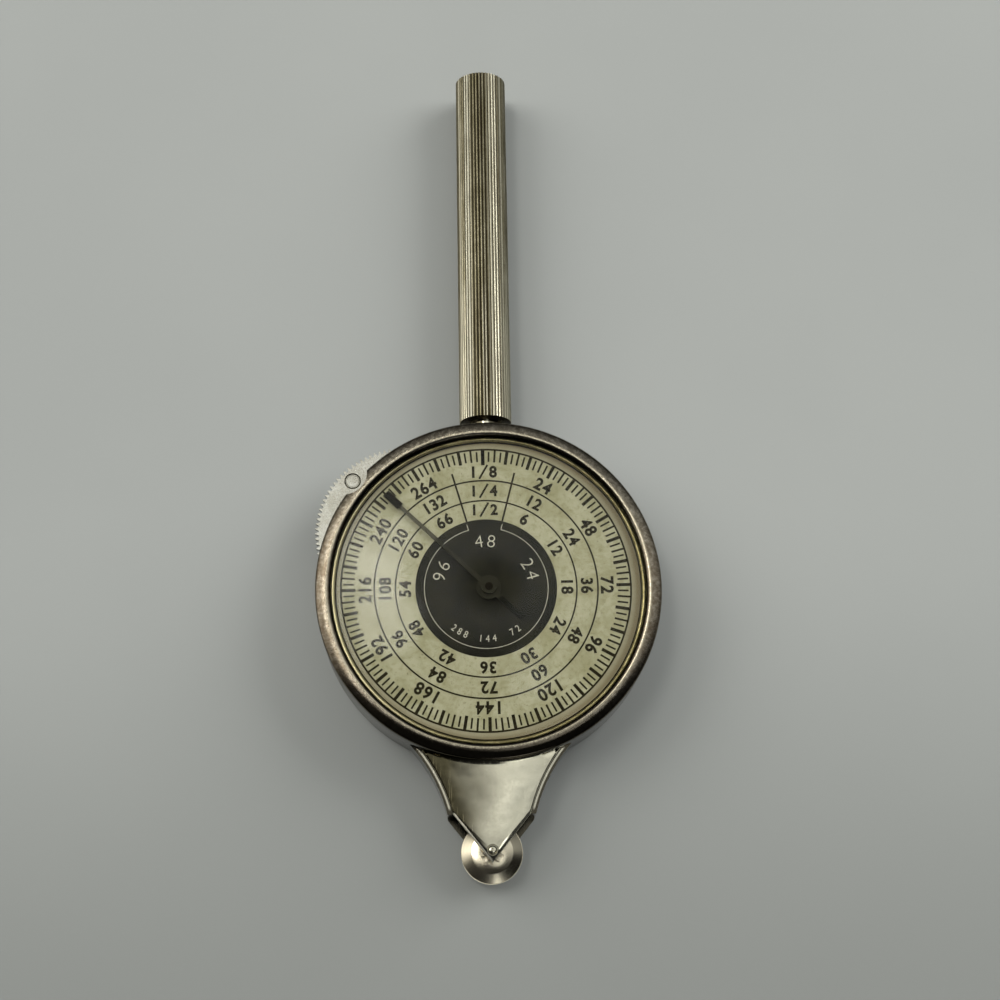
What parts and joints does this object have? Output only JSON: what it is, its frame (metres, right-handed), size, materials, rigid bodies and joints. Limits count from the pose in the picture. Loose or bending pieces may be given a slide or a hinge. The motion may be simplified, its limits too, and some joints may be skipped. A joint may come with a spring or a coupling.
{
  "type": "map measurer",
  "caption": "Pocket map measurer: a small tracing wheel in a forked nose drives a pointer over a round dial, with a fluted handle and a toothed reset wheel.",
  "frame": {"origin": "on the dial's axis, on the flat back face that the case rests on", "axes": "+Z out of the dial, +Y along the handle, -Y towards the tracing wheel, +X to the right with the dial seen upright"},
  "size_m": [0.0346, 0.0865, 0.0084],
  "materials": {
    "worn_nickel": "nickel plate worn to the brass on the edges, satin",
    "polished_nickel": "polished warm nickel plate with fine scratches",
    "tarnished_nickel": "tarnished nickel plate, brown in the flutes",
    "bright_nickel": "bright nickel plate",
    "gilt_brass": "satin gilt brass",
    "brass": "fine-turned brass",
    "steel": "ground steel",
    "blued_steel": "black-blued steel",
    "glass": "clear polished crystal",
    "dial_print": "aged cream card, mottled, with a dark print"
  },
  "bodies": {
    "case": {"back_cover": "worn_nickel", "case_band": "worn_nickel", "nose_cheek": "polished_nickel", "cheek_screws": "steel", "bezel": "worn_nickel", "crystal": "glass", "spacer_ring": "gilt_brass", "dial_plate": "brass", "dial_card": "dial_print", "dial_feet": "brass", "upper_plate": "brass", "lower_plate": "brass", "pillars": "brass", "upper_screws": "steel", "lower_screws": "steel", "upper_bushes": "brass", "lower_bushes": "brass", "nose_bushes": "brass", "handle": "tarnished_nickel", "handle_stud": "polished_nickel", "handle_washer": "steel", "handle_nut": "brass", "axle_pin": "polished_nickel", "axle_washers": "brass", "reset_post": "steel", "reset_clip": "steel"},
    "tracer": {"tracing_wheel": "polished_nickel", "tracing_pinion": "brass"},
    "first_gear": {"first_arbor": "steel", "first_wheel": "brass", "first_pinion": "steel"},
    "second_gear": {"second_arbor": "steel", "second_wheel": "brass", "second_pinion": "steel"},
    "centre_gear": {"centre_wheel": "brass"},
    "pointer_shaft": {"pointer_arbor": "steel", "clutch_spring": "steel", "reset_pinion": "steel", "pointer": "blued_steel", "pointer_boss": "blued_steel"},
    "friction_washer": {"reset_washer": "brass"},
    "reset_gear": {"reset_wheel": "bright_nickel", "reset_rivet": "bright_nickel"}
  },
  "joints": [
    {"name": "tracing_turn", "type": "hinge", "parent": "case", "child": "tracer", "pos_m": [0, -0.0256, 0.0023], "axis": [0, 0, 1], "continuous": true},
    {"name": "first_turn", "type": "hinge", "parent": "case", "child": "first_gear", "pos_m": [0, -0.0216, 0.0035], "axis": [0, 0, 1], "continuous": true},
    {"name": "second_turn", "type": "hinge", "parent": "case", "child": "second_gear", "pos_m": [0, -0.0141, 0.0035], "axis": [0, 0, 1], "continuous": true},
    {"name": "centre_turn", "type": "hinge", "parent": "case", "child": "centre_gear", "pos_m": [0, 0, 0.0029], "axis": [0, 0, 1], "continuous": true},
    {"name": "washer_turn", "type": "hinge", "parent": "case", "child": "friction_washer", "pos_m": [-0.00835, 0.00618, 0.0041], "axis": [0, 0, 1], "continuous": true},
    {"name": "clutch_slip", "type": "hinge", "parent": "centre_gear", "child": "pointer_shaft", "pos_m": [0, 0, 0.0044], "axis": [0, 0, 1], "continuous": true},
    {"name": "reset_turn", "type": "hinge", "parent": "friction_washer", "child": "reset_gear", "pos_m": [-0.00835, 0.00618, 0.0044], "axis": [0, 0, 1], "continuous": true}
  ],
  "couplings": [
    {"joint": "first_turn", "follows": "tracing_turn", "ratio": -0.33333},
    {"joint": "second_turn", "follows": "tracing_turn", "ratio": 0.083333},
    {"joint": "centre_turn", "follows": "tracing_turn", "ratio": -0.020833},
    {"joint": "washer_turn", "follows": "tracing_turn", "ratio": 0.0034722},
    {"joint": "clutch_slip", "follows": "reset_turn", "ratio": -6}
  ]
}
